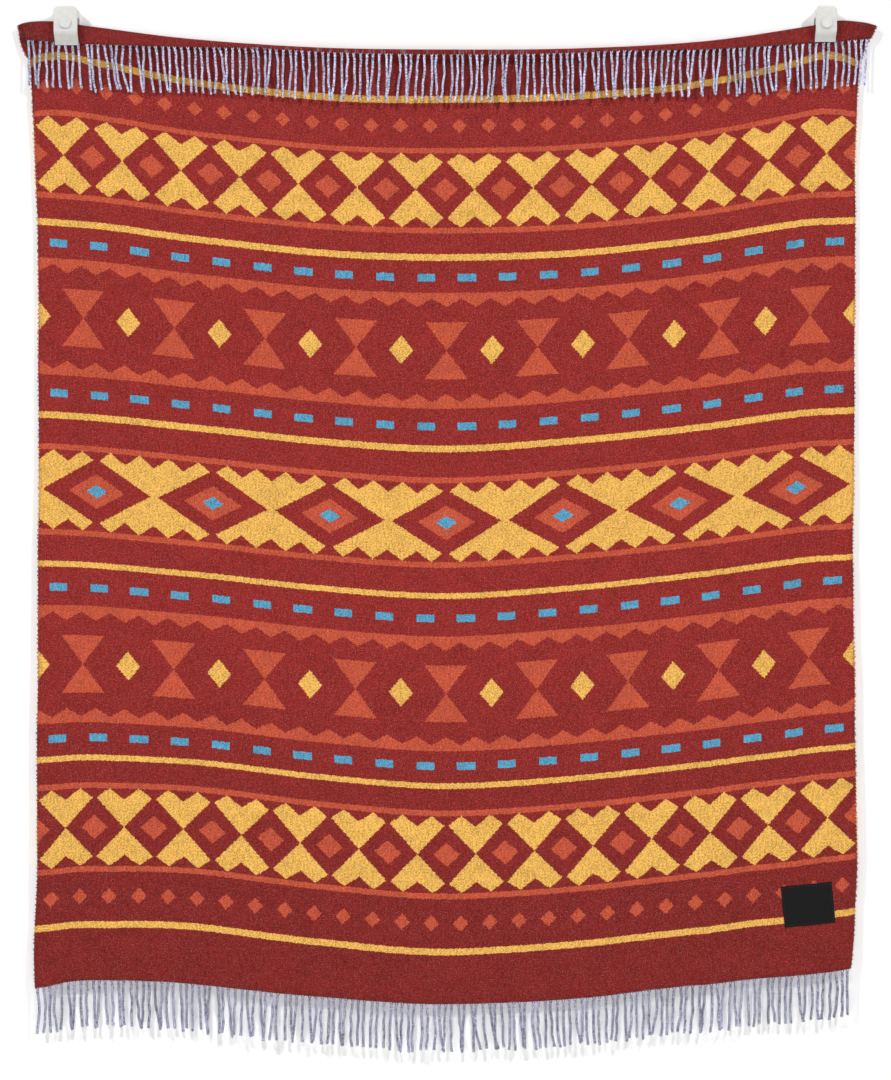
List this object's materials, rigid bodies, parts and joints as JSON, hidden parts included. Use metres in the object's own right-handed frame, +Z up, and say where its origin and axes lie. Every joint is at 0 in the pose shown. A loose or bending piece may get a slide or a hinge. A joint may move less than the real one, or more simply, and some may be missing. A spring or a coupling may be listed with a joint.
{
  "type": "throw blanket hung from two wall clips",
  "caption": "Woven throw blanket with twisted fringe at both ends, hung by its turned-over top edge from plastic wall clips; the edge sags between them.",
  "frame": {"origin": "on the wall, midway between the two clips and 2 mm below the middle of their round bosses", "axes": "+X to the right as seen from the room, +Y into the wall, +Z up"},
  "size_m": [1.4366, 0.032, 1.7418],
  "materials": {
    "wool_cloth": "napped wool weave in dark red with bands of orange, gold and blue",
    "fringe_yarn": "two-ply twisted wool yarn, lilac grey",
    "label_cloth": "close black ribbon weave, bare, sewn round its edge",
    "clip_plastic": "warm white moulded plastic, slightly satin"
  },
  "bodies": {
    "root": {"blanket": "wool_cloth", "fringe_top": "fringe_yarn", "fringe_bottom": "fringe_yarn", "label": "label_cloth", "clip_left_base": "clip_plastic", "clip_left_jaw": "clip_plastic", "clip_right_base": "clip_plastic", "clip_right_jaw": "clip_plastic"}
  },
  "joints": []
}
